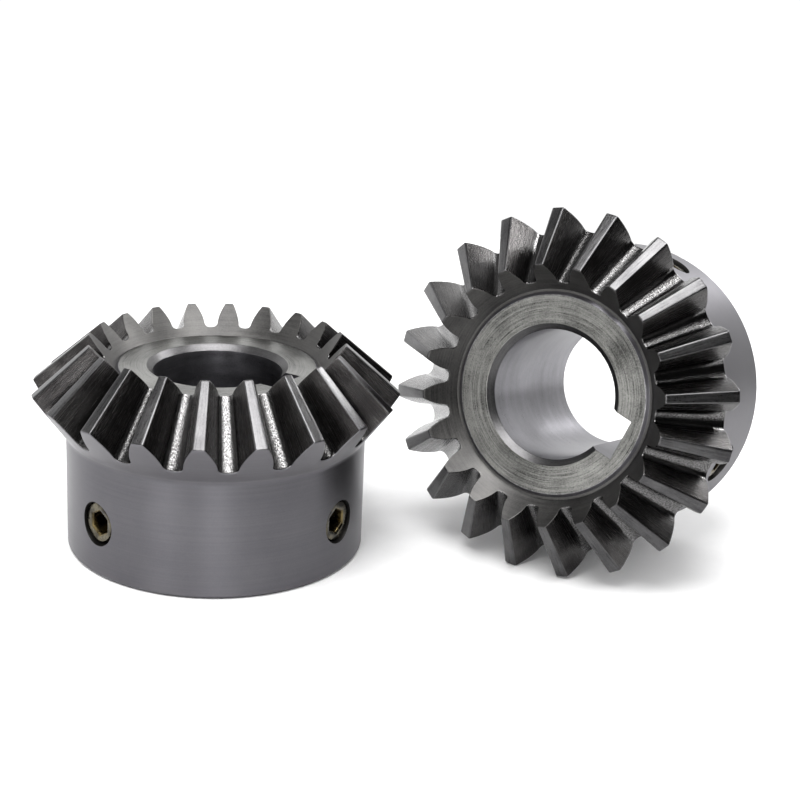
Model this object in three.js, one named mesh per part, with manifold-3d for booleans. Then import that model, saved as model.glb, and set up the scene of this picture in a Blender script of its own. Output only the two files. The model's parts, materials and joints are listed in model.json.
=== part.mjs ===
// A pair of equal straight bevel gears (a mitre pair, ratio 1:1, shafts at 90 degrees), as they
// stand on a bench: one upright on its hub, the other lying on its tooth tips and hub rim.
// Each gear has a keyed bore and two socket set screws in its hub.
// Millimetres and degrees. +Z is up, and the origin is under the middle of the pair, on the bench.
import * as THREE from "three";
import { mergeVertices } from "three/addons/utils/BufferGeometryUtils.js";
import Module from "manifold-3d";

const wasm = await Module();
wasm.setup();

// ---------- Driving dimensions ----------
// Teeth
const toothModule = 2;
const toothCount = 20;
const pressureAngle = 20;
const pitchConeAngle = 45;
const dedendumFactor = 1.225;
const rootRounding = 0.9; // height over which a root rounds into its flank
const flankBacklash = 0.1;
const faceWidth = 8.67;
// Blank
const mountingDistance = 37.73; // hub end face to the point where both shaft axes cross
const hubDiameter = 35;
const hubLength = 13.88; // hub end face to the foot of the back cone
const hubEdgeChamfer = 0.35;
const ringHeight = 21.7; // hub end face to the ground front ring
const ringOuterDiameter = 22.9;
const ringGrooveDepth = 0.3; // the step between the ring and the cone of the teeth's toe ends
const ringGrooveWidth = 0.35;
const toeConeFootDiameter = 24.2;
// Bore and keyway
const boreDiameter = 15;
const boreChamfer = 0.7;
const keywayWidth = 5;
const keywayDepth = 2.3; // from the bore wall
// Set screws, M5 with a hexagon socket and a cup point
const threadDiameter = 5;
const threadClearance = 0.3; // radial gap between a screw and its tapped hole
const screwHeight = 6.4; // screw axis above the hub end face
const screwRecess = 0.45; // top of a screw below the hub surface
const keyScrewLength = 6;
const shaftScrewLength = 8;
const socketAcrossFlats = 2.5;
const socketDepth = 2.6;
const screwTopChamfer = 0.3;
const cupDiameter = 2.5;
const cupDepth = 0.7;
// Where the two gears stand
const uprightToothAngle = -88.55; // direction of one tooth
const uprightKeywayAngle = -30;
const uprightScrewSpread = -103; // from the key screw to the shaft screw
const lyingToothAngle = 100.69;
const lyingKeywayAngle = -20;
const lyingScrewSpread = 90;
const lyingYaw = 29.35; // direction of its shaft axis, seen from above
const lyingOffset = new THREE.Vector2(49, 14.48); // from one hub centre to the other
// Fineness of the round surfaces, in facets to a full turn
const blankFacets = 80;
const screwFacets = 32;
const flankSteps = 4;
const rootSteps = 3;

// ---------- Tooth geometry, worked out on the virtual spur gear of the back cone ----------
const degree = Math.PI / 180;
const cone = pitchConeAngle * degree;
const pitchRadius = (toothModule * toothCount) / 2;
const pitchHeight = mountingDistance - pitchRadius / Math.tan(cone);
const coneDistance = pitchRadius / Math.sin(cone);
const virtualTeeth = toothCount / Math.cos(cone);
const virtualPitchRadius = (toothModule * virtualTeeth) / 2;
const virtualBaseRadius = virtualPitchRadius * Math.cos(pressureAngle * degree);
const virtualTipRadius = virtualPitchRadius + toothModule;
const virtualRootRadius = virtualPitchRadius - dedendumFactor * toothModule;
const tipRadius = pitchRadius + toothModule * Math.cos(cone);
const tipHeight = pitchHeight + toothModule * Math.sin(cone);
const toeScale = 1 - faceWidth / coneDistance;

// The involute function of the pressure angle at a radius of the virtual gear.
function involute(radius) {
  const angle = Math.acos(Math.min(1, virtualBaseRadius / radius));
  return Math.tan(angle) - angle;
}

// Half the angle of a tooth space at a radius of the virtual gear.
function halfSpaceAngle(radius) {
  const quarterPitch = Math.PI / (2 * virtualTeeth);
  const rolled = involute(Math.max(radius, virtualBaseRadius));
  return quarterPitch - involute(virtualPitchRadius) + rolled + flankBacklash / (2 * radius);
}

// Half the outline of a tooth space, from its rounded root up one flank and past the tip:
// x is an angle on the virtual gear and y a radius.
function halfSpaceOutline() {
  const points = [];
  const roundedRadius = virtualRootRadius + rootRounding;
  const root = new THREE.QuadraticBezierCurve(
    new THREE.Vector2(0, virtualRootRadius),
    new THREE.Vector2(halfSpaceAngle(virtualBaseRadius), virtualRootRadius),
    new THREE.Vector2(halfSpaceAngle(roundedRadius), roundedRadius)
  );
  for (let i = 0; i < rootSteps; i++) {
    points.push(root.getPoint((i + 0.5) / rootSteps));
  }
  for (let i = 0; i <= flankSteps; i++) {
    const radius = THREE.MathUtils.lerp(roundedRadius, virtualTipRadius, i / flankSteps);
    points.push(new THREE.Vector2(halfSpaceAngle(radius), radius));
  }
  const clearRadius = virtualTipRadius + toothModule;
  points.push(new THREE.Vector2(halfSpaceAngle(clearRadius), clearRadius));
  return points;
}

// ---------- Solids ----------
function solid(geometry) {
  const bare = geometry.clone();
  bare.deleteAttribute("normal");
  bare.deleteAttribute("uv");
  const merged = mergeVertices(bare, 1e-4);
  const mesh = new wasm.Mesh({
    numProp: 3,
    vertProperties: merged.attributes.position.array,
    triVerts: new Uint32Array(merged.index.array),
  });
  return new wasm.Manifold(mesh);
}

function geometryOf(manifold) {
  const mesh = manifold.getMesh();
  const geometry = new THREE.BufferGeometry();
  geometry.setAttribute("position", new THREE.BufferAttribute(mesh.vertProperties, 3));
  geometry.setIndex(new THREE.BufferAttribute(mesh.triVerts, 1));
  geometry.computeVertexNormals();
  return geometry;
}

// A turned solid about Z from points of radius and height, which run up its outer side.
function turned(outline, facets) {
  const points = outline.map(([radius, height]) => new THREE.Vector2(radius, height));
  return new THREE.LatheGeometry(points, facets).rotateX(Math.PI / 2);
}

// The gear blank with its bore, as one closed ring of revolution.
function blankGeometry() {
  const bore = boreDiameter / 2;
  const hub = hubDiameter / 2;
  const ring = ringOuterDiameter / 2;
  const toeRadius = tipRadius * toeScale;
  const toeHeight = mountingDistance - (mountingDistance - tipHeight) * toeScale;
  const grooveFloor = ringHeight - ringGrooveDepth;
  return turned(
    [
      [bore, boreChamfer],
      [bore + boreChamfer, 0],
      [hub - hubEdgeChamfer, 0],
      [hub, hubEdgeChamfer],
      [hub, hubLength],
      [tipRadius, tipHeight],
      [toeRadius, toeHeight],
      [toeConeFootDiameter / 2, grooveFloor],
      [ring + ringGrooveWidth, grooveFloor],
      [ring, ringHeight],
      [bore + boreChamfer, ringHeight],
      [bore, ringHeight - boreChamfer],
      [bore, boreChamfer],
    ],
    blankFacets,
  );
}

// One tooth space: an extruded outline, bent onto the back cone and drawn in towards the apex.
function toothSpaceGeometry() {
  const rightSide = halfSpaceOutline();
  const leftSide = rightSide.map((point) => new THREE.Vector2(-point.x, point.y)).reverse();
  const outline = new THREE.Shape([...leftSide, ...rightSide]);
  const bar = new THREE.ExtrudeGeometry(outline, { depth: 1, steps: 1, bevelEnabled: false });
  const heelOvershoot = 1.15;
  const toeOvershoot = toeScale - 0.12;
  const position = bar.attributes.position;
  for (let i = 0; i < position.count; i++) {
    const turn = -position.getX(i) / Math.cos(cone);
    const beyondPitch = position.getY(i) - virtualPitchRadius;
    const scale = THREE.MathUtils.lerp(heelOvershoot, toeOvershoot, position.getZ(i));
    const radius = (pitchRadius + beyondPitch * Math.cos(cone)) * scale;
    const height = pitchHeight + beyondPitch * Math.sin(cone);
    const drawnHeight = mountingDistance - (mountingDistance - height) * scale;
    position.setXYZ(i, radius * Math.cos(turn), radius * Math.sin(turn), drawnHeight);
  }
  return bar;
}

function keywayGeometry(angle) {
  const floor = boreDiameter / 2 + keywayDepth;
  const overshoot = 1;
  const length = ringHeight + 2 * overshoot;
  return new THREE.BoxGeometry(floor, keywayWidth, length)
    .translate(floor / 2, 0, ringHeight / 2)
    .rotateZ(angle * degree);
}

// A cylinder that lies along the direction of an angle, from one radius to another.
function radialCylinder(diameter, from, to, angle) {
  return new THREE.CylinderGeometry(diameter / 2, diameter / 2, to - from, screwFacets)
    .rotateZ(-Math.PI / 2)
    .translate((from + to) / 2, 0, screwHeight)
    .rotateZ(angle * degree);
}

// The toothed, keyed and tapped gear, standing on its hub face with its shaft axis on Z and one
// tooth towards X. Its blank has a facet to each tooth tip.
function gearGeometry(keywayAngle, screwAngles) {
  let gear = solid(blankGeometry().rotateZ(Math.PI / blankFacets));
  const space = toothSpaceGeometry();
  for (let i = 0; i < toothCount; i++) {
    const turn = ((i + 0.5) / toothCount) * 2 * Math.PI;
    gear = gear.subtract(solid(space.clone().rotateZ(turn)));
  }
  gear = gear.subtract(solid(keywayGeometry(keywayAngle)));
  const tappedDiameter = threadDiameter + threadClearance;
  for (const angle of screwAngles) {
    const hole = radialCylinder(tappedDiameter, boreDiameter / 4, hubDiameter, angle);
    gear = gear.subtract(solid(hole));
  }
  return geometryOf(gear);
}

// A set screw with its axis on Z, its cup point at the origin and its hexagon socket upwards.
function screwGeometry(length) {
  const radius = (threadDiameter - threadClearance) / 2;
  const rim = cupDiameter / 2;
  const body = turned(
    [
      [0, cupDepth],
      [rim, 0],
      [radius, radius - rim],
      [radius, length - screwTopChamfer],
      [radius - screwTopChamfer, length],
      [0, length],
    ],
    screwFacets,
  );
  const cornerRadius = socketAcrossFlats / 2 / Math.cos(Math.PI / 6);
  const socket = new THREE.CylinderGeometry(cornerRadius, cornerRadius, 2 * socketDepth, 6)
    .rotateX(Math.PI / 2)
    .translate(0, 0, length);
  return geometryOf(solid(body).subtract(solid(socket)));
}

// ---------- Materials ----------
const blackenedSteel = new THREE.MeshStandardMaterial({
  color: 0x55545a,
  roughness: 0.38,
  metalness: 0.9,
});
const screwSteel = new THREE.MeshStandardMaterial({
  color: 0x6b6250,
  roughness: 0.3,
  metalness: 0.95,
});

// ---------- Assembly ----------
function part(name, geometry, material) {
  const mesh = new THREE.Mesh(geometry, material);
  mesh.name = name;
  return mesh;
}

// A set screw in its tapped hole, pointing at the shaft axis.
function screw(name, length, angle) {
  const mesh = part(name, screwGeometry(length), screwSteel);
  const turn = angle * degree;
  const innerEnd = hubDiameter / 2 - screwRecess - length;
  mesh.rotation.order = "ZYX";
  mesh.rotation.set(0, Math.PI / 2, turn);
  mesh.position.set(innerEnd * Math.cos(turn), innerEnd * Math.sin(turn), screwHeight);
  return mesh;
}

// A gear with its two screws. The angles are measured about its shaft axis.
function gearWithScrews(name, toothAngle, keywayAngle, screwSpread) {
  const keyAngle = keywayAngle - toothAngle;
  const shaftAngle = keyAngle + screwSpread;
  const group = new THREE.Group();
  group.add(part(name, gearGeometry(keyAngle, [keyAngle, shaftAngle]), blackenedSteel));
  group.add(screw(`${name}_key_screw`, keyScrewLength, keyAngle));
  group.add(screw(`${name}_shaft_screw`, shaftScrewLength, shaftAngle));
  group.rotation.z = toothAngle * degree;
  return group;
}

// How far the lowest tooth tip of the lying gear reaches below its shaft axis.
function lowestTipReach() {
  const pitchAngle = 360 / toothCount;
  const fromBottom = THREE.MathUtils.euclideanModulo(lyingToothAngle + 90, pitchAngle);
  const nearest = Math.min(fromBottom, pitchAngle - fromBottom) * degree;
  const virtualHalfLand = Math.PI / virtualTeeth - halfSpaceAngle(virtualTipRadius);
  const halfLand = virtualHalfLand / Math.cos(cone);
  return tipRadius * Math.cos(Math.max(0, nearest - halfLand));
}

const upright = new THREE.Group();
upright.add(
  gearWithScrews("upright_gear", uprightToothAngle, uprightKeywayAngle, uprightScrewSpread),
);

// The lying gear rests on the rim of its hub and on its lowest tooth tip.
const hubRadius = hubDiameter / 2;
const lyingTilt = Math.atan2(lowestTipReach() - hubRadius, tipHeight - hubEdgeChamfer);
const lyingHeight = hubRadius * Math.cos(lyingTilt) - hubEdgeChamfer * Math.sin(lyingTilt);
const lying = new THREE.Group();
lying.add(gearWithScrews("lying_gear", lyingToothAngle, lyingKeywayAngle, lyingScrewSpread));
lying.rotation.order = "ZYX";
lying.rotation.set(Math.PI / 2 - lyingTilt, 0, -lyingYaw * degree);
lying.position.set(lyingOffset.x, lyingOffset.y, lyingHeight);

// Both gears, moved so that the origin is under the middle of their common box.
const group = new THREE.Group();
group.add(upright, lying);
const box = new THREE.Box3().setFromObject(group, true);
const middle = box.getCenter(new THREE.Vector3());
group.position.set(-middle.x, -middle.y, -box.min.z);

export default group;
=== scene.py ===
import json
import math

import bpy
import numpy as np
from mathutils import Matrix, Vector


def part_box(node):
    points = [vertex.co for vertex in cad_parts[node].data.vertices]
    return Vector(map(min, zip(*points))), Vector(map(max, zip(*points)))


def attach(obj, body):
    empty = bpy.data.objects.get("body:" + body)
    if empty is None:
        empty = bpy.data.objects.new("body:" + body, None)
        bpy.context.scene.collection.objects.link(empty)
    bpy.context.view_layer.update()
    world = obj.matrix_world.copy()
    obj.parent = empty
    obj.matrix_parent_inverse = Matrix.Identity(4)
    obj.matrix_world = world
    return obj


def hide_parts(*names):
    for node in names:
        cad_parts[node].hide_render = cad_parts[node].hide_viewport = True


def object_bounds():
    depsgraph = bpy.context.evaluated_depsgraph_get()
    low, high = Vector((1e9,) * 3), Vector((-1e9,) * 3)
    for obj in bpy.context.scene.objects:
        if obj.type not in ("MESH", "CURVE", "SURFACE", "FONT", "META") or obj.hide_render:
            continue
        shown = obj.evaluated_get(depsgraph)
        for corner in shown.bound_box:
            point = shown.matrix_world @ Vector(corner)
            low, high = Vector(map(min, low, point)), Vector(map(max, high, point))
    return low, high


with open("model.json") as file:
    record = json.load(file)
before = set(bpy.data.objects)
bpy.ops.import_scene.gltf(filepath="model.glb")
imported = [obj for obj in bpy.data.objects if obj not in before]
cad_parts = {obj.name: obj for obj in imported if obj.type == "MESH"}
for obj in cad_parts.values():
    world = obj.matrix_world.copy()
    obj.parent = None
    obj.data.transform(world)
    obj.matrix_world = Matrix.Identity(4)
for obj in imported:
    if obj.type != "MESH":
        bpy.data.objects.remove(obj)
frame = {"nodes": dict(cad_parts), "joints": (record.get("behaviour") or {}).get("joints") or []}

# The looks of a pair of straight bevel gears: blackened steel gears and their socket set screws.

packed_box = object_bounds()

# ---------- Sizes of one gear, in metres ----------
MM = 0.001
MODULE = 2 * MM
TEETH = 20
PRESSURE_ANGLE = math.radians(20)
PITCH_CONE = math.radians(45)
DEDENDUM = 1.225 * MODULE
ROOT_ROUNDING = 0.9 * MM
BACKLASH = 0.1 * MM
FACE_WIDTH = 8.67 * MM
MOUNTING_DISTANCE = 37.73 * MM
HUB_RADIUS = 17.5 * MM
HUB_LENGTH = 13.88 * MM
HUB_CHAMFER = 0.35 * MM
RING_HEIGHT = 21.7 * MM
RING_RADIUS = 11.45 * MM
GROOVE_DEPTH = 0.3 * MM
GROOVE_WIDTH = 0.35 * MM
TOE_FOOT_RADIUS = 12.1 * MM
BORE_RADIUS = 7.5 * MM
BORE_CHAMFER = 0.7 * MM
KEY_HALF_WIDTH = 2.5 * MM
KEY_FLOOR_RADIUS = 9.8 * MM
# Drop of the bore's edge where the keyway leaves no chamfer
KEY_EDGE_DROP = 0.05 * MM
# Set screws
SCREW_HEIGHT = 6.4 * MM
SCREW_RADIUS = 2.45 * MM
SCREW_FACE_RADIUS = 2.38 * MM
SCREW_FACE_INNER = 1.72 * MM
TAPPED_RADIUS = 2.5 * MM
TAPPED_MOUTH = 0.1 * MM
TAPPED_MOUTH_DEPTH = 0.28 * MM
# The cutter of a tapped hole starts inside the bore and ends outside the hub
CUTTER_START = 0.6 * BORE_RADIUS
CUTTER_END = HUB_RADIUS + 3 * MM
THREAD_PITCH = 0.8 * MM
THREAD_DEPTH = 0.4 * MM
THREAD_START = 0.45 * MM
# How steeply the thread runs in: about this many times its full depth per pitch
THREAD_RUN_IN = 2.5
SOCKET_HALF_FLATS = 1.25 * MM
SOCKET_DEPTH = 2.6 * MM
# The cup point as (radius, height), from the hollow outwards
CUP_PROFILE = ((0.05 * MM, 0.75 * MM), (0.7 * MM, 0.35 * MM), (1.1 * MM, 0.02 * MM), (1.3 * MM, 0.0),
               (1.75 * MM, 0.3 * MM))
# The socket's wall as (width against its flats, depth), then its drilled end as (radius, depth)
SOCKET_WALL = ((1.14, 0.02 * MM), (1.04, 0.1 * MM), (1.0, 0.18 * MM), (1.0, 1.2 * MM), (1.0, SOCKET_DEPTH))
SOCKET_END = ((0.6 * MM, 2.9 * MM), (0.05 * MM, 3.1 * MM))
# Turn of one tooth about each gear's axis
TOOTH_ANGLE = {"upright_gear": math.radians(-88.55), "lying_gear": math.radians(100.69)}

# Worked out from the sizes above
PITCH_RADIUS = MODULE * TEETH / 2
PITCH_HEIGHT = MOUNTING_DISTANCE - PITCH_RADIUS / math.tan(PITCH_CONE)
TOE_SCALE = 1 - FACE_WIDTH * math.sin(PITCH_CONE) / PITCH_RADIUS
VIRTUAL_TEETH = TEETH / math.cos(PITCH_CONE)
VIRTUAL_PITCH = MODULE * VIRTUAL_TEETH / 2
VIRTUAL_BASE = VIRTUAL_PITCH * math.cos(PRESSURE_ANGLE)
VIRTUAL_TIP = VIRTUAL_PITCH + MODULE
VIRTUAL_ROOT = VIRTUAL_PITCH - DEDENDUM
TIP_RADIUS = PITCH_RADIUS + MODULE * math.cos(PITCH_CONE)
TIP_HEIGHT = PITCH_HEIGHT + MODULE * math.sin(PITCH_CONE)
GROOVE_FLOOR = RING_HEIGHT - GROOVE_DEPTH

# Fineness of the meshes
FLANK_STEPS = 9
ROOT_STEPS = 8
# Above 1, the rows of a flank crowd towards the tip
FLANK_CROWDING = 1.3
CUTTER_SIDES = 96
SCREW_COLUMNS = 72
THREAD_ROWS = 16
FLOOR_SIDES = 96
# Share of the way along a rounded edge of each of its rows
ROUNDING_STEPS = (0.0, 0.3, 0.7, 1.0)
SHARP_GEAR_EDGE = math.radians(38)
SHARP_SCREW_EDGE = math.radians(50)
EDGE_ROUNDING = 0.15 * MM
# How far from an edge its wear fades out
WEAR_FADE = 0.15 * MM
LAND_EDGE_WEAR = 0.45
LAND_EDGE_END_WEAR = 0.3

# Parts of a tooth
LAND, FLANK, ROOT = 0, 1, 2


# ---------- Tooth outline ----------
def involute(radius):
    angle = math.acos(min(1.0, VIRTUAL_BASE / radius))
    return math.tan(angle) - angle


def half_tooth_angle(radius):
    """Half the angle of a tooth at a radius of the virtual spur gear."""
    rolled = involute(max(radius, VIRTUAL_BASE))
    return math.pi / (2 * VIRTUAL_TEETH) + involute(VIRTUAL_PITCH) - rolled - BACKLASH / (2 * radius)


def rounded_corner(start, corner, end, t):
    """The point a share t of the way along the curve that rounds a corner."""
    return tuple((1 - t) ** 2 * a + 2 * t * (1 - t) * b + t**2 * c for a, b, c in zip(start, corner, end))


def half_pitch_outline():
    """Points (angle, radius, part of the tooth, wear) of the virtual gear, mid tooth to mid space."""
    tip_angle = half_tooth_angle(VIRTUAL_TIP)
    land_end = tip_angle - EDGE_ROUNDING / VIRTUAL_TIP
    flank_start = VIRTUAL_TIP - EDGE_ROUNDING
    points = [(0.0, VIRTUAL_TIP, LAND, 0.0), (land_end / 2, VIRTUAL_TIP, LAND, 0.0)]
    points.append((land_end - EDGE_ROUNDING / VIRTUAL_TIP, VIRTUAL_TIP, LAND, 0.0))
    corner = (tip_angle, VIRTUAL_TIP)
    edge_end = (half_tooth_angle(flank_start), flank_start)
    for t in (0.0, 0.33, 0.67, 1.0):
        angle, radius = rounded_corner((land_end, VIRTUAL_TIP), corner, edge_end, t)
        wear = LAND_EDGE_END_WEAR if t in (0.0, 1.0) else LAND_EDGE_WEAR
        points.append((angle, radius, LAND, wear))
    rounded = VIRTUAL_ROOT + ROOT_ROUNDING
    for i in range(1, FLANK_STEPS + 1):
        radius = flank_start + (rounded - flank_start) * (i / FLANK_STEPS) ** FLANK_CROWDING
        points.append((half_tooth_angle(radius), radius, FLANK, 0.0))
    flank_end = (half_tooth_angle(rounded), rounded)
    corner = (half_tooth_angle(VIRTUAL_BASE), VIRTUAL_ROOT)
    mid_space = (math.pi / VIRTUAL_TEETH, VIRTUAL_ROOT)
    for i in range(1, ROOT_STEPS + 1):
        angle, radius = rounded_corner(flank_end, corner, mid_space, i / ROOT_STEPS)
        points.append((angle, radius, ROOT, 0.0))
    return points


def tooth_columns():
    """The outline all round the gear: turn about the axis, height above the pitch cone, part and wear."""
    half = np.array(half_pitch_outline())
    mirrored = half[:0:-1] * (-1, 1, 1, 1)
    turn, radius, part, wear = np.tile(np.concatenate([mirrored, half[:-1]]), (TEETH, 1)).T
    steps = np.repeat(np.arange(TEETH) * 2 * math.pi / TEETH, len(turn) // TEETH)
    return turn / math.cos(PITCH_CONE) + steps, radius - VIRTUAL_PITCH, part.astype(int), wear


# ---------- Gear mesh: a grid of columns round the axis and rows round the section ----------
def keyway_radius(turn, key_turn):
    """Radius of the keyway's wall or floor in a direction, or 0 outside the keyway."""
    away = np.abs((turn - key_turn + math.pi) % (2 * math.pi) - math.pi)
    mouth = math.asin(KEY_HALF_WIDTH / BORE_RADIUS)
    corner = math.atan(KEY_HALF_WIDTH / KEY_FLOOR_RADIUS)
    safe = np.clip(away, corner, math.pi / 2)
    wall = KEY_HALF_WIDTH / np.sin(safe)
    floor = KEY_FLOOR_RADIUS / np.cos(np.minimum(away, corner))
    return np.where(away > mouth + 1e-6, 0.0, np.where(away < corner, floor, wall))


def even_columns(count, first, key_turn):
    """Evenly spread turns, with the nearest ones moved onto the keyway's corners."""
    turn = first + np.arange(count) * 2 * math.pi / count
    corners = (
        math.atan(KEY_HALF_WIDTH / KEY_FLOOR_RADIUS),
        math.asin(KEY_HALF_WIDTH / (BORE_RADIUS + BORE_CHAMFER)),
        math.asin(KEY_HALF_WIDTH / BORE_RADIUS),
    )
    for corner in corners:
        for side in (-1, 1):
            away = (key_turn + side * corner - turn + math.pi) % (2 * math.pi) - math.pi
            nearest = int(np.argmin(np.abs(away)))
            turn[nearest] += away[nearest]
    return turn


def gear_section(key_turn):
    """Corners of each column's section, as columns x corners x (turn, radius, height), its part and wear."""
    tooth_turn, rise, part, wear = tooth_columns()
    count = len(tooth_turn)
    even = even_columns(count, tooth_turn[0], key_turn)
    key = keyway_radius(even, key_turn)
    bore = np.maximum(BORE_RADIUS, key)
    mouth = np.maximum(BORE_RADIUS + BORE_CHAMFER, key)
    drop = np.maximum(BORE_RADIUS + BORE_CHAMFER - bore, KEY_EDGE_DROP)

    radius = PITCH_RADIUS + rise * math.cos(PITCH_CONE)
    height = PITCH_HEIGHT + rise * math.sin(PITCH_CONE)
    below_apex = MOUNTING_DISTANCE - height
    back_slope = (TIP_HEIGHT - HUB_LENGTH) / (TIP_RADIUS - HUB_RADIUS)
    heel = (MOUNTING_DISTANCE - HUB_LENGTH + HUB_RADIUS * back_slope) / (below_apex + radius * back_slope)
    toe_radius = TIP_RADIUS * TOE_SCALE
    toe_height = MOUNTING_DISTANCE - (MOUNTING_DISTANCE - TIP_HEIGHT) * TOE_SCALE
    toe_slope = (toe_height - GROOVE_FLOOR) / (toe_radius - TOE_FOOT_RADIUS)
    toe_reach = MOUNTING_DISTANCE - GROOVE_FLOOR + TOE_FOOT_RADIUS * toe_slope
    toe = toe_reach / (below_apex + radius * toe_slope)

    def row(turn, r, z):
        return np.stack([turn, np.broadcast_to(r, count), np.broadcast_to(z, count)], axis=1)

    corners = [
        row(even, bore, drop),
        row(even, mouth, 0.0),
        row(even, HUB_RADIUS - HUB_CHAMFER, 0.0),
        row(even, HUB_RADIUS, HUB_CHAMFER),
        row(even, HUB_RADIUS, HUB_LENGTH),
        row(tooth_turn, radius * heel, MOUNTING_DISTANCE - below_apex * heel),
        row(tooth_turn, radius * toe, MOUNTING_DISTANCE - below_apex * toe),
        row(tooth_turn, TOE_FOOT_RADIUS, GROOVE_FLOOR),
        row(tooth_turn, RING_RADIUS + GROOVE_WIDTH, GROOVE_FLOOR),
        row(even, RING_RADIUS, RING_HEIGHT),
        row(even, mouth, RING_HEIGHT),
        row(even, bore, RING_HEIGHT - drop),
    ]
    return np.stack(corners, axis=1), part, wear


# For each corner of the section: the material that follows it, its rounding in mm, its wear,
# and the rows of the mesh up to the next corner
STRETCHES = (
    ("chamfer_steel", 0.05, 0.5, 1), ("turned_steel", 0.06, 0.5, 4), ("turned_steel", 0.08, 0.7, 1),
    ("turned_steel", 0.08, 0.7, 6), ("cone_steel", 0.35, 0.0, 2), ("flank_steel", 0.15, 0.6, 8),
    ("toe_steel", 0.17, 0.6, 3), ("toe_steel", 0.05, 0.0, 1), ("turned_steel", 0.04, 0.0, 1),
    ("ring_steel", 0.06, 1.0, 4), ("chamfer_steel", 0.05, 0.7, 1), ("bore_steel", 0.04, 0.5, 8),
)
TEETH_STRETCH = 5
# The most of a stretch that one rounding may take up
LONGEST_ROUNDING = 0.4
MATERIAL_ORDER = (
    "turned_steel", "cone_steel", "flank_steel", "toe_steel", "ring_steel",
    "bore_steel", "land_steel", "root_steel", "tapped_steel", "chamfer_steel",
)


def rounded_rows(section):
    """Rounds each corner of each column. Returns the rows, the stretch each one starts, and its wear."""
    rows = []
    stretch = []
    wear = []
    count = section.shape[1]
    for i in range(count):
        here = section[:, i]
        before = section[:, i - 1]
        after = section[:, (i + 1) % count]
        back = np.linalg.norm((before - here)[:, 1:], axis=1, keepdims=True)
        ahead = np.linalg.norm((after - here)[:, 1:], axis=1, keepdims=True)
        size = STRETCHES[i][1] * MM
        start = here + (before - here) * np.minimum(size / back, LONGEST_ROUNDING)
        end = here + (after - here) * np.minimum(size / ahead, LONGEST_ROUNDING)
        for t in ROUNDING_STEPS:
            rows.append((1 - t) ** 2 * start + 2 * t * (1 - t) * here + t**2 * end)
            stretch.append(i if t > 0.5 else i - 1)
            wear.append(STRETCHES[i][2])
        next_size = STRETCHES[(i + 1) % count][1] * MM
        next_start = after + (here - after) * np.minimum(next_size / ahead, LONGEST_ROUNDING)
        middle = STRETCHES[i][3]
        fade = WEAR_FADE / ahead
        for share in [fade] + [step / (middle + 1) for step in range(1, middle + 1)] + [1 - fade]:
            rows.append(end + (next_start - end) * share)
            stretch.append(i)
            wear.append(0.0)
    stretch = [i % count for i in stretch]
    return np.stack(rows, axis=1), np.array(stretch), np.array(wear)


def face_corners(values, step):
    """The values at the four corners of each face of a closed grid; step is added past the last column."""
    wide = np.concatenate([values, values[:1] + step], axis=0)
    tall = np.concatenate([wide, wide[:, :1]], axis=1)
    return np.stack([tall[:-1, :-1], tall[1:, :-1], tall[1:, 1:], tall[:-1, 1:]], axis=2)


def grid_mesh(name, points, face_material, maps, materials):
    """A closed mesh from columns x rows of points, with maps given as two values per face corner."""
    columns, rows = points.shape[:2]
    mesh = bpy.data.meshes.new(name)
    index = np.arange(columns * rows).reshape(columns, rows)
    faces = face_corners(index, 0)
    mesh.from_pydata(points.reshape(-1, 3).tolist(), [], faces.reshape(-1, 4).tolist())
    for material in materials:
        mesh.materials.append(material)
    mesh.polygons.foreach_set("material_index", face_material.reshape(-1).astype(np.int32))
    for map_name, values in maps.items():
        layer = mesh.uv_layers.new(name=map_name)
        layer.data.foreach_set("uv", np.stack(values, axis=3).astype(np.float32).reshape(-1))
    mesh.validate()
    return mesh


def gear_mesh(name, key_turn, materials):
    section, part, column_wear = gear_section(key_turn)
    rows, stretch, row_wear = rounded_rows(section)
    turn, radius, height = rows[..., 0], rows[..., 1], rows[..., 2]
    points = np.stack([radius * np.cos(turn), radius * np.sin(turn), height], axis=2)
    count = len(points)

    toothed = stretch == TEETH_STRETCH
    faces = np.tile([MATERIAL_ORDER.index(STRETCHES[i][0]) for i in stretch], (count, 1))
    face_part = np.maximum(part, np.roll(part, -1))
    named = np.array([MATERIAL_ORDER.index(kind) for kind in ("land_steel", "flank_steel", "root_steel")])
    faces[:, toothed] = named[face_part][:, None]

    # On turned surfaces the map is (turn, distance along the section), on teeth (profile length, distance
    # from the apex), both distances in mm
    profile_step = np.linalg.norm(np.roll(section[:, TEETH_STRETCH], -1, axis=0)[:, 1:]
                                  - section[:, TEETH_STRETCH][:, 1:], axis=1)
    turn_step = (np.roll(section[:, TEETH_STRETCH, 0], -1) - section[:, TEETH_STRETCH, 0]) % (2 * math.pi)
    profile_step = np.hypot(profile_step, turn_step * PITCH_RADIUS) / MM
    profile = np.concatenate([[0], np.cumsum(profile_step)])
    profile_map = face_corners(np.tile(profile[:-1, None], (1, rows.shape[1])), profile[-1])
    apex_distance = np.hypot(radius, MOUNTING_DISTANCE - height) / MM
    on_tooth = toothed[None, :, None]
    across = np.where(on_tooth, profile_map, face_corners(turn, 2 * math.pi))
    along = np.where(on_tooth, face_corners(apex_distance, 0), face_corners((radius + height) / MM, 0))
    wear = np.maximum(row_wear[None, :], column_wear[:, None] * toothed[None, :])
    wear_map = face_corners(wear, 0)
    maps = {"surface": (across, along), "wear": (wear_map, np.zeros_like(wear_map))}
    return grid_mesh(name, points, faces, maps, materials)


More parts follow.
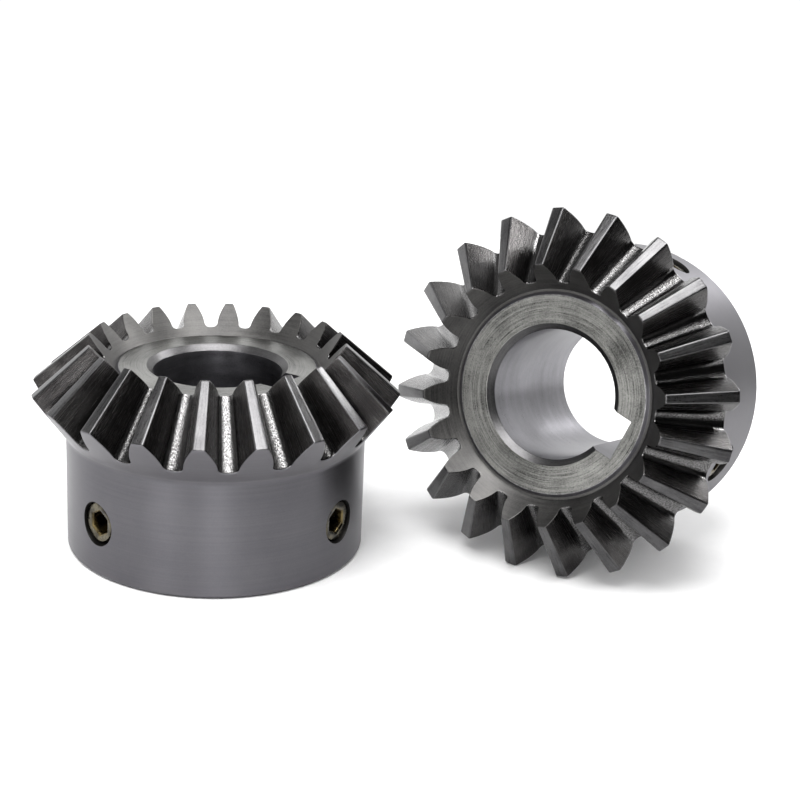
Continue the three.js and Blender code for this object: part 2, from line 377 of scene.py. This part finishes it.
def hole_cutter(direction, height, material):
    """A radial cylinder with a slightly wider mouth, which cuts one tapped hole."""
    outline = (
        (CUTTER_START, TAPPED_RADIUS),
        (HUB_RADIUS - TAPPED_MOUTH_DEPTH, TAPPED_RADIUS),
        (HUB_RADIUS, TAPPED_RADIUS + TAPPED_MOUTH),
        (CUTTER_END, TAPPED_RADIUS + TAPPED_MOUTH),
    )
    sides = CUTTER_SIDES
    along = direction.normalized()
    across = Vector((0, 0, 1))
    third = along.cross(across)
    points = []
    for distance, radius in outline:
        for i in range(sides):
            angle = 2 * math.pi * i / sides
            around = across * math.cos(angle) + third * math.sin(angle)
            points.append(along * distance + around * radius + Vector((0, 0, height)))
    faces = [tuple(range(sides - 1, -1, -1)), tuple(range(len(points) - sides, len(points)))]
    for ring in range(len(outline) - 1):
        for i in range(sides):
            a = ring * sides + i
            b = ring * sides + (i + 1) % sides
            faces.append((a, b, b + sides, a + sides))
    mesh = bpy.data.meshes.new("hole_cutter")
    mesh.from_pydata([tuple(p) for p in points], [], faces)
    mesh.materials.append(material)
    return bpy.data.objects.new("hole_cutter", mesh)


def apply_modifiers(obj):
    """Replaces an object's mesh by the result of its modifiers."""
    graph = bpy.context.evaluated_depsgraph_get()
    mesh = bpy.data.meshes.new_from_object(obj.evaluated_get(graph))
    obj.modifiers.clear()
    obj.data = mesh


def add_object(name, mesh):
    obj = bpy.data.objects.new(name, mesh)
    bpy.context.scene.collection.objects.link(obj)
    return obj


def crisp(obj, angle):
    """Smooth faces with sharp edges above an angle, and normals that follow the larger faces."""
    obj.data.polygons.foreach_set("use_smooth", np.ones(len(obj.data.polygons), bool))
    obj.data.set_sharp_from_angle(angle=angle)
    weighted = obj.modifiers.new("weighted_normals", "WEIGHTED_NORMAL")
    weighted.keep_sharp = True
    weighted.weight = 100
    apply_modifiers(obj)


# ---------- Set screw mesh ----------
def thread_wave(phase):
    """Height of a thread with slanted flanks, from 0 at its root to 1 at its crest, over one pitch."""
    flank, flank_start, flank_end = 0.3, 0.16, 0.94
    phase = phase % 1.0
    rise = np.clip((phase - flank_start) / flank, 0, 1)
    fall = np.clip((flank_end - phase) / flank, 0, 1)
    return np.minimum(rise, fall)


def screw_mesh(name, length, materials):
    """A socket set screw with its cup point at the origin and its axis on Z."""
    columns = SCREW_COLUMNS
    turn = np.arange(columns) * 2 * math.pi / columns
    hexagon = SOCKET_HALF_FLATS / np.cos((turn + math.pi / 6) % (math.pi / 3) - math.pi / 6)
    minor = SCREW_RADIUS - THREAD_DEPTH
    rows = []

    def add_row(radius, height, slot):
        rows.append((radius * np.ones(columns), height * np.ones(columns), slot))

    for radius, height in CUP_PROFILE:
        add_row(radius, height, 0)
    threaded = length - THREAD_START
    steps = int(THREAD_ROWS * threaded / THREAD_PITCH)
    for i in range(steps + 1):
        height = THREAD_START + threaded * i / steps
        run_in = min(1.0, THREAD_RUN_IN * i / THREAD_ROWS)
        wave = thread_wave(height / THREAD_PITCH - turn / (2 * math.pi))
        chamfered = SCREW_FACE_RADIUS + (length - height)
        add_row(np.minimum(minor + THREAD_DEPTH * wave * run_in, chamfered), height, 0)
    add_row(SCREW_FACE_INNER, length, 0)
    for widen, depth in SOCKET_WALL:
        add_row(hexagon * widen, length - depth, 1)
    for radius, depth in SOCKET_END:
        add_row(radius, length - depth, 1)
    radius = np.stack([r[0] for r in rows], axis=1)
    height = np.stack([r[1] for r in rows], axis=1)
    count = len(rows)
    points = np.stack([radius * np.cos(turn)[:, None], radius * np.sin(turn)[:, None], height], axis=2)
    index = np.arange(columns * count).reshape(columns, count)
    after = np.roll(index, -1, axis=0)
    quads = np.stack([index[:, :-1], after[:, :-1], after[:, 1:], index[:, 1:]], axis=2).reshape(-1, 4)
    faces = quads.tolist() + [index[::-1, 0].tolist(), index[:, -1].tolist()]
    mesh = bpy.data.meshes.new(name)
    mesh.from_pydata(points.reshape(-1, 3).tolist(), [], faces)
    for material in materials:
        mesh.materials.append(material)
    slots = [r[2] for r in rows[:-1]] * columns + [0, 1]
    mesh.polygons.foreach_set("material_index", np.array(slots, np.int32))
    mesh.validate()
    return mesh


# ---------- Materials ----------
RANGE_SOCKETS = ("From Min", "From Max", "To Min", "To Max")
WORN_STEEL = (0.22, 0.217, 0.22)


class Nodes:
    """A small helper that builds one node material around a Principled shader."""

    def __init__(self, name):
        self.material = bpy.data.materials.new(name)
        self.material.use_nodes = True
        self.tree = self.material.node_tree
        self.tree.nodes.clear()
        self.shader = self.add("ShaderNodeBsdfPrincipled")
        output = self.add("ShaderNodeOutputMaterial")
        self.join(self.shader.outputs["BSDF"], output.inputs["Surface"])

    def add(self, kind, **settings):
        node = self.tree.nodes.new(kind)
        for key, value in settings.items():
            setattr(node, key, value)
        return node

    def join(self, output, socket):
        self.tree.links.new(output, socket)

    def math(self, operation, *values):
        node = self.add("ShaderNodeMath", operation=operation)
        for i, value in enumerate(values):
            if isinstance(value, (int, float)):
                node.inputs[i].default_value = value
            else:
                self.join(value, node.inputs[i])
        return node.outputs[0]

    def vector(self, x, y, z):
        node = self.add("ShaderNodeCombineXYZ")
        for value, socket in zip((x, y, z), node.inputs):
            if isinstance(value, (int, float)):
                socket.default_value = value
            else:
                self.join(value, socket)
        return node.outputs[0]

    def uv(self, name):
        place = self.add("ShaderNodeUVMap", uv_map=name)
        parts = self.add("ShaderNodeSeparateXYZ")
        self.join(place.outputs["UV"], parts.inputs["Vector"])
        return parts.outputs["X"], parts.outputs["Y"]

    def turned_map(self, round_way, per_mm):
        """Runs with the tool marks of a lathe: slowly round the axis, per_mm features along the surface."""
        turn, along = self.uv("surface")
        x = self.math("MULTIPLY", self.math("COSINE", turn), round_way)
        y = self.math("MULTIPLY", self.math("SINE", turn), round_way)
        return self.vector(x, y, self.math("MULTIPLY", along, per_mm))

    def tooth_map(self, across_per_mm, along_per_mm):
        across, along = self.uv("surface")
        across = self.math("MULTIPLY", across, across_per_mm)
        along = self.math("MULTIPLY", along, along_per_mm)
        return self.vector(across, along, 0)

    def place_map(self):
        return self.add("ShaderNodeTexCoord").outputs["Object"]

    def noise(self, vector, scale, detail, roughness=0.6, distortion=0.0):
        node = self.add("ShaderNodeTexNoise")
        node.inputs["Scale"].default_value = scale
        node.inputs["Detail"].default_value = detail
        node.inputs["Roughness"].default_value = roughness
        node.inputs["Distortion"].default_value = distortion
        self.join(vector, node.inputs["Vector"])
        return node.outputs["Fac"]

    def spread(self, value, low, high, to_low=0.0, to_high=1.0):
        """Maps a value from one range to another, held at the ends."""
        node = self.add("ShaderNodeMapRange")
        for socket, number in zip(RANGE_SOCKETS, (low, high, to_low, to_high)):
            node.inputs[socket].default_value = number
        self.join(value, node.inputs["Value"])
        return node.outputs["Result"]

    def weighted_sum(self, *parts):
        """Adds up pairs of an output and its weight."""
        shares = [self.math("MULTIPLY", output, weight) for output, weight in parts]
        total = shares[0]
        for share in shares[1:]:
            total = self.math("ADD", total, share)
        return total

    def mix(self, factor, first, second):
        """Blends two colours, each one a tuple or another node's output."""
        node = self.add("ShaderNodeMix", data_type="RGBA")
        colours = [socket for socket in node.inputs if socket.type == "RGBA"]
        for value, socket in zip((first, second), colours):
            if isinstance(value, tuple):
                socket.default_value = (*value, 1)
            else:
                self.join(value, socket)
        self.join(factor, node.inputs["Factor"])
        return next(socket for socket in node.outputs if socket.type == "RGBA")

    def metal(self, colour, roughness):
        """Joins a colour and a roughness to the shader, and makes it a metal."""
        self.join(colour, self.shader.inputs["Base Color"])
        self.join(roughness, self.shader.inputs["Roughness"])
        self.shader.inputs["Metallic"].default_value = 1.0

    def bump(self, height, strength, distance):
        node = self.add("ShaderNodeBump")
        node.inputs["Strength"].default_value = strength
        node.inputs["Distance"].default_value = distance
        self.join(height, node.inputs["Height"])
        self.join(node.outputs["Normal"], self.shader.inputs["Normal"])

    def worn_mask(self, amount):
        """1 on the broken edges where the oxide has rubbed off in places, else 0."""
        wear, _ = self.uv("wear")
        chips = self.noise(self.place_map(), 2600, 4, 0.7)
        rubbed = self.weighted_sum((wear, 0.6), (chips, 1.0))
        return self.spread(rubbed, 1.22 - amount, 1.32 - amount)


def machined(name, marks, colours, rough, mark_bump, grain=(7000, 0.25), wear=0.2, anisotropy=0.0,
             contrast=0.12):
    """Blackened steel with tool marks, a fine grain, uneven oxide and rubbed edges.

    marks is ("turned", how dense they are round the axis, then along the section), or ("tooth", how dense
    they are across the profile, then along the tooth). colours and rough are the ends of their ranges.
    mark_bump is the strength of the relief, and grain is the scale and the height of the fine grain. wear
    is how far the rubbing reaches, and contrast is half the range of noise between the two colours."""
    nodes = Nodes(name)
    kind, first, second = marks
    mapped = nodes.turned_map(first, second) if kind == "turned" else nodes.tooth_map(first, second)
    grain_scale, grain_height = grain
    lines = nodes.noise(mapped, 1.0, 6, 0.72)
    place = nodes.place_map()
    speck = nodes.noise(place, grain_scale, 3, 0.7)
    oxide = nodes.noise(place, 160, 4)
    blend = nodes.weighted_sum((oxide, 0.35), (lines, 0.4), (speck, 0.25))
    shade = nodes.spread(blend, 0.5 - contrast, 0.5 + contrast)
    plain = nodes.mix(shade, colours[0], colours[1])
    gloss = nodes.weighted_sum((lines, 0.6), (speck, 0.4))
    colour = nodes.mix(nodes.worn_mask(wear), plain, WORN_STEEL)
    nodes.metal(colour, nodes.spread(gloss, 0.35, 0.65, rough[0], rough[1]))
    nodes.bump(nodes.weighted_sum((lines, 1.0), (speck, grain_height)), mark_bump, 0.06 * MM)
    if anisotropy:
        nodes.shader.inputs["Anisotropic"].default_value = anisotropy
        nodes.shader.inputs["Anisotropic Rotation"].default_value = 0.25
        tangent = nodes.add("ShaderNodeTangent", direction_type="UV_MAP", uv_map="surface")
        nodes.join(tangent.outputs["Tangent"], nodes.shader.inputs["Tangent"])
    return nodes.material


def root_material():
    """Rough-cut roots: dark, with torn specks that glint."""
    nodes = Nodes("root_steel")
    lines = nodes.noise(nodes.tooth_map(5, 0.4), 1.0, 5, 0.7)
    torn = nodes.noise(nodes.tooth_map(7.0, 4.5), 1.0, 4, 0.72, 0.4)
    colour = nodes.mix(nodes.spread(torn, 0.42, 0.58), (0.02, 0.019, 0.019), (0.19, 0.187, 0.187))
    nodes.metal(colour, nodes.spread(lines, 0.35, 0.65, 0.12, 0.22))
    nodes.bump(nodes.weighted_sum((lines, 0.7), (torn, 1.0)), 0.4, 0.05 * MM)
    return nodes.material


def flank_material():
    """Shaped flanks: dark and glossy, with long fine scratches and a few bright torn ones."""
    nodes = Nodes("flank_steel")
    lines = nodes.noise(nodes.tooth_map(7, 0.14), 1.0, 6, 0.72, 0.25)
    scratches = nodes.noise(nodes.tooth_map(3.2, 0.28), 1.0, 6, 0.8, 0.6)
    patches = nodes.noise(nodes.place_map(), 230, 4)
    speck = nodes.noise(nodes.place_map(), 6500, 3)
    dark = nodes.mix(nodes.spread(patches, 0.4, 0.6), (0.032, 0.03, 0.03), (0.07, 0.067, 0.066))
    reach = nodes.spread(patches, 0.44, 0.6, 0.08, 0.8)
    bare = nodes.math("MULTIPLY", nodes.spread(scratches, 0.6, 0.72), reach)
    scratched = nodes.mix(bare, dark, (0.34, 0.33, 0.32))
    colour = nodes.mix(nodes.worn_mask(0.12), scratched, WORN_STEEL)
    nodes.metal(colour, nodes.spread(lines, 0.35, 0.65, 0.17, 0.32))
    nodes.bump(nodes.weighted_sum((lines, 1.0), (scratches, 1.0), (speck, 0.25)), 0.6, 0.07 * MM)
    return nodes.material


def gear_materials():
    made = {
        "turned_steel": machined(
            "turned_steel", ("turned", 0.5, 4.5), ((0.1, 0.097, 0.107), (0.126, 0.123, 0.133)),
            rough=(0.38, 0.44), mark_bump=0.025, grain=(6000, 0.3), wear=0.08, anisotropy=0.6),
        "cone_steel": machined(
            "cone_steel", ("turned", 0.6, 4), ((0.125, 0.122, 0.131), (0.16, 0.156, 0.167)),
            rough=(0.34, 0.42), mark_bump=0.04, grain=(6000, 0.3), wear=0.1, anisotropy=0.4),
        "flank_steel": flank_material(),
        "root_steel": root_material(),
        "toe_steel": machined(
            "toe_steel", ("turned", 1.5, 4), ((0.038, 0.037, 0.037), (0.092, 0.09, 0.087)),
            rough=(0.36, 0.52), mark_bump=0.22, grain=(6000, 0.45), wear=0.12, contrast=0.1),
        "ring_steel": machined(
            "ring_steel", ("turned", 1.6, 7), ((0.04, 0.04, 0.038), (0.24, 0.239, 0.227)),
            rough=(0.24, 0.4), mark_bump=0.45, grain=(6500, 0.5), anisotropy=0.3, contrast=0.09),
        "bore_steel": machined(
            "bore_steel", ("turned", 0.7, 0.55), ((0.085, 0.083, 0.093), (0.25, 0.247, 0.265)),
            rough=(0.26, 0.38), mark_bump=0.08, grain=(7000, 0.15), wear=0.1, anisotropy=0.6,
            contrast=0.14),
        "land_steel": machined(
            "land_steel", ("tooth", 5, 0.3), ((0.042, 0.041, 0.043), (0.105, 0.104, 0.105)),
            rough=(0.24, 0.38), mark_bump=0.18, grain=(6500, 0.8), wear=0.12, contrast=0.09),
        "tapped_steel": machined(
            "tapped_steel", ("turned", 1, 1), ((0.02, 0.02, 0.02), (0.04, 0.038, 0.036)),
            rough=(0.4, 0.6), mark_bump=0.2, wear=0.0),
        "chamfer_steel": machined(
            "chamfer_steel", ("turned", 1.5, 7), ((0.05, 0.049, 0.05), (0.115, 0.113, 0.115)),
            rough=(0.28, 0.42), mark_bump=0.3, grain=(6000, 0.35), wear=0.15, contrast=0.1),
    }
    return [made[name] for name in MATERIAL_ORDER]


def screw_material(name, dark, light, rough):
    """Oiled set screw steel: glossy, with dark and light patches of warm oxide."""
    nodes = Nodes(name)
    place = nodes.place_map()
    oxide = nodes.noise(place, 700, 4)
    grain = nodes.noise(place, 8000, 4)
    colour = nodes.mix(nodes.spread(oxide, 0.4, 0.62), dark, light)
    nodes.metal(colour, nodes.spread(oxide, 0.3, 0.7, rough[0], rough[1]))
    nodes.bump(nodes.math("ADD", grain, oxide), 0.2, 0.04 * MM)
    return nodes.material


def floor_material():
    nodes = Nodes("floor_paper")
    fibre = nodes.noise(nodes.place_map(), 700, 4)
    shade = nodes.spread(fibre, 0.3, 0.7)
    nodes.join(nodes.mix(shade, (0.93, 0.93, 0.93), (0.95, 0.95, 0.95)), nodes.shader.inputs["Base Color"])
    nodes.shader.inputs["Roughness"].default_value = 0.7
    nodes.shader.inputs["Specular IOR Level"].default_value = 0.2
    nodes.bump(fibre, 0.02, 0.1 * MM)
    return nodes.material


# ---------- Where the gears and screws are, from the frame ----------
def joint(name):
    return next(j for j in frame["joints"] if j["name"] == name)


def gear_place(centre, axis):
    """The matrix of a gear: hub face centre at the origin, shaft axis on Z, X level."""
    level = Vector((-axis.y, axis.x, 0)) if axis.xy.length > 1e-6 else Vector((1, 0, 0))
    level.normalize()
    side = axis.cross(level)
    basis = Matrix((level, side, axis)).transposed().to_4x4()
    return Matrix.Translation(centre) @ basis


def build_gear(name, place, screw_axes, materials):
    """One gear: its toothed blank with a keyway and two tapped holes."""
    turned_place = place @ Matrix.Rotation(TOOTH_ANGLE[name], 4, "Z")
    to_gear = turned_place.to_3x3().inverted()
    directions = [to_gear @ axis for axis in screw_axes]
    key_turn = math.atan2(directions[0].y, directions[0].x)
    gear = add_object(name + "_steel", gear_mesh(name + "_steel", key_turn, materials))
    for direction in directions:
        cutter = hole_cutter(direction, SCREW_HEIGHT, materials[MATERIAL_ORDER.index("tapped_steel")])
        bpy.context.scene.collection.objects.link(cutter)
        cut = gear.modifiers.new("tapped_hole", "BOOLEAN")
        cut.operation = "DIFFERENCE"
        cut.solver = "MANIFOLD"
        cut.object = cutter
        apply_modifiers(gear)
        bpy.data.objects.remove(cutter)
    crisp(gear, SHARP_GEAR_EDGE)
    gear.data.transform(turned_place)
    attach(gear, name)
    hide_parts(name)


def build_screw(name, axis, hub_centre, gear_axis, materials):
    """A set screw along its slide axis, as long as its CAD solid."""
    node = frame["nodes"][name]
    reach = [(v.co - hub_centre).dot(axis) for v in node.data.vertices]
    start, end = min(reach), max(reach)
    screw = add_object(name + "_steel", screw_mesh(name + "_steel", end - start, materials))
    crisp(screw, SHARP_SCREW_EDGE)
    side = gear_axis.cross(axis)
    basis = Matrix((side, gear_axis, axis)).transposed()
    if basis.determinant() < 0:
        basis = Matrix((-side, gear_axis, axis)).transposed()
    place = Matrix.Translation(hub_centre + gear_axis * SCREW_HEIGHT + axis * start)
    screw.data.transform(place @ basis.to_4x4())
    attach(screw, name)
    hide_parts(name)


def build_pair():
    gear_steel = gear_materials()
    screw_steel = [
        screw_material("screw_steel", (0.022, 0.02, 0.016), (0.12, 0.108, 0.078), (0.14, 0.3)),
        screw_material("socket_steel", (0.025, 0.02, 0.012), (0.13, 0.1, 0.045), (0.2, 0.35)),
    ]
    low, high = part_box("upright_gear")
    upright_centre = Vector(((low.x + high.x) / 2, (low.y + high.y) / 2, low.z))
    spin = joint("lying_gear_spin")
    places = {
        "upright_gear": (upright_centre, Vector((0, 0, 1))),
        "lying_gear": (Vector(spin["pos_m"]), Vector(spin["axis"]).normalized()),
    }
    for name, (centre, gear_axis) in places.items():
        short = name.removesuffix("_gear")
        travels = [joint(f"{short}_{kind}_screw_travel") for kind in ("key", "shaft")]
        axes = [Vector(travel["axis"]).normalized() for travel in travels]
        build_gear(name, gear_place(centre, gear_axis), axes, gear_steel)
        for kind, axis in zip(("key", "shaft"), axes):
            build_screw(f"{name}_{kind}_screw", axis, centre, gear_axis, screw_steel)


# ---------- Stage, light and camera ----------
WORLD_WHITE = 1.08
BACKDROP_WHITE = 1.05
# The world in reflections: how far its fade leans to the left, then the fade from the camera's side
# to the rear and the one from the sides to overhead, each as (from low, from high, to low, to high)
REFLECTED_LEAN = -0.7
REAR_FADE = (-0.55, 0.45, 0.02, 1.7)
OVERHEAD_FADE = (0.45, 0.8, 1.0, 0.12)
SUN_STRENGTH = 2.4
SUN_WIDTH = math.radians(32)
SUN_TILT = (math.radians(20), math.radians(-9), 0)
FLOOR_RADIUS = 0.16
SOFTBOX_TARGET = Vector((0, 0, 0.015))
# Name, place, size and radiance of each softbox
SOFTBOXES = (
    ("top_softbox", (0.05, -0.15, 0.48), (0.4, 0.34), 12.0),
    ("left_softbox", (-0.28, -0.45, 0.07), (0.13, 0.2), 8.0),
    ("camera_softbox", (0.1, -0.5, 0.11), (0.07, 0.12), 8.0),
    ("low_softbox", (0.02, -0.5, 0.095), (0.07, 0.09), 30.0),
    ("rear_softbox", (0.32, 0.23, 0.33), (0.12, 0.12), 28.0),
)


def build_floor():
    sides = FLOOR_SIDES
    level = packed_box[0].z
    turns = [2 * math.pi * i / sides for i in range(sides)]
    rim = [(FLOOR_RADIUS * math.cos(turn), FLOOR_RADIUS * math.sin(turn), level) for turn in turns]
    mesh = bpy.data.meshes.new("floor")
    mesh.from_pydata(rim, [], [tuple(range(sides))])
    mesh.materials.append(floor_material())
    add_object("floor", mesh)


def softbox(name, place, size, radiance):
    """A light panel that faces the object and only shows in its reflections."""
    light = bpy.data.lights.new(name, "AREA")
    light.shape = "RECTANGLE"
    light.size, light.size_y = size
    light.energy = radiance * math.pi * size[0] * size[1]
    obj = bpy.data.objects.new(name, light)
    obj.location = place
    obj.rotation_euler = (SOFTBOX_TARGET - place).to_track_quat("-Z", "Y").to_euler()
    obj.visible_diffuse = False
    obj.visible_camera = False
    bpy.context.scene.collection.objects.link(obj)


def studio_gradient(world):
    """A white studio. In reflections it is dark on the camera's side and dim overhead."""
    tree = world.node_tree
    tree.nodes.clear()

    def add(kind, **settings):
        node = tree.nodes.new(kind)
        for key, value in settings.items():
            setattr(node, key, value)
        return node

    def smooth_fade(value, limits):
        node = add("ShaderNodeMapRange", interpolation_type="SMOOTHSTEP")
        for socket, number in zip(RANGE_SOCKETS, limits):
            node.inputs[socket].default_value = number
        tree.links.new(value, node.inputs["Value"])
        return node.outputs["Result"]

    direction = add("ShaderNodeTexCoord")
    parts = add("ShaderNodeSeparateXYZ")
    tree.links.new(direction.outputs["Generated"], parts.inputs["Vector"])
    lean = add("ShaderNodeMath", operation="MULTIPLY_ADD")
    lean.inputs[1].default_value = REFLECTED_LEAN
    tree.links.new(parts.outputs["X"], lean.inputs[0])
    tree.links.new(parts.outputs["Y"], lean.inputs[2])
    both = add("ShaderNodeMath", operation="MULTIPLY")
    tree.links.new(smooth_fade(lean.outputs[0], REAR_FADE), both.inputs[0])
    tree.links.new(smooth_fade(parts.outputs["Z"], OVERHEAD_FADE), both.inputs[1])

    rays = add("ShaderNodeLightPath")
    backdrop = add("ShaderNodeMapRange")
    backdrop.inputs["To Min"].default_value = WORLD_WHITE
    backdrop.inputs["To Max"].default_value = BACKDROP_WHITE
    tree.links.new(rays.outputs["Is Camera Ray"], backdrop.inputs["Value"])
    pick = add("ShaderNodeMix", data_type="FLOAT")
    tree.links.new(backdrop.outputs["Result"], pick.inputs["A"])
    tree.links.new(rays.outputs["Is Glossy Ray"], pick.inputs["Factor"])
    tree.links.new(both.outputs[0], pick.inputs["B"])
    background = add("ShaderNodeBackground")
    tree.links.new(pick.outputs["Result"], background.inputs["Strength"])
    output = add("ShaderNodeOutputWorld")
    tree.links.new(background.outputs["Background"], output.inputs["Surface"])
    background.inputs["Color"].default_value = (1, 1, 1, 1)


def build_lights():
    world = bpy.data.worlds.new("studio")
    world.use_nodes = True
    studio_gradient(world)
    bpy.context.scene.world = world
    for name, place, size, radiance in SOFTBOXES:
        softbox(name, Vector(place), size, radiance)
    sun = bpy.data.lights.new("sun", "SUN")
    sun.energy = SUN_STRENGTH
    sun.angle = SUN_WIDTH
    obj = bpy.data.objects.new("sun", sun)
    obj.rotation_euler = SUN_TILT
    obj.visible_glossy = False
    bpy.context.scene.collection.objects.link(obj)


def build_camera():
    """A camera in front of the gears, raised by its elevation and rolled a little."""
    distance = 0.1966
    elevation = math.radians(19.3)
    roll = math.radians(2.85)
    aim = Vector((0, 0, 0.0181))
    camera = bpy.data.cameras.new("camera")
    camera.sensor_width = 36
    camera.lens = 75.2
    camera.clip_start = 0.01
    obj = bpy.data.objects.new("camera", camera)
    obj.location = aim + distance * Vector((0, -math.cos(elevation), math.sin(elevation)))
    look = (aim - obj.location).to_track_quat("-Z", "Y").to_matrix().to_4x4()
    obj.rotation_euler = (look @ Matrix.Rotation(roll, 4, "Z")).to_euler()
    bpy.context.scene.collection.objects.link(obj)
    bpy.context.scene.camera = obj


build_camera()
build_pair()
build_floor()
build_lights()
bpy.context.scene.view_settings.view_transform = "Standard"
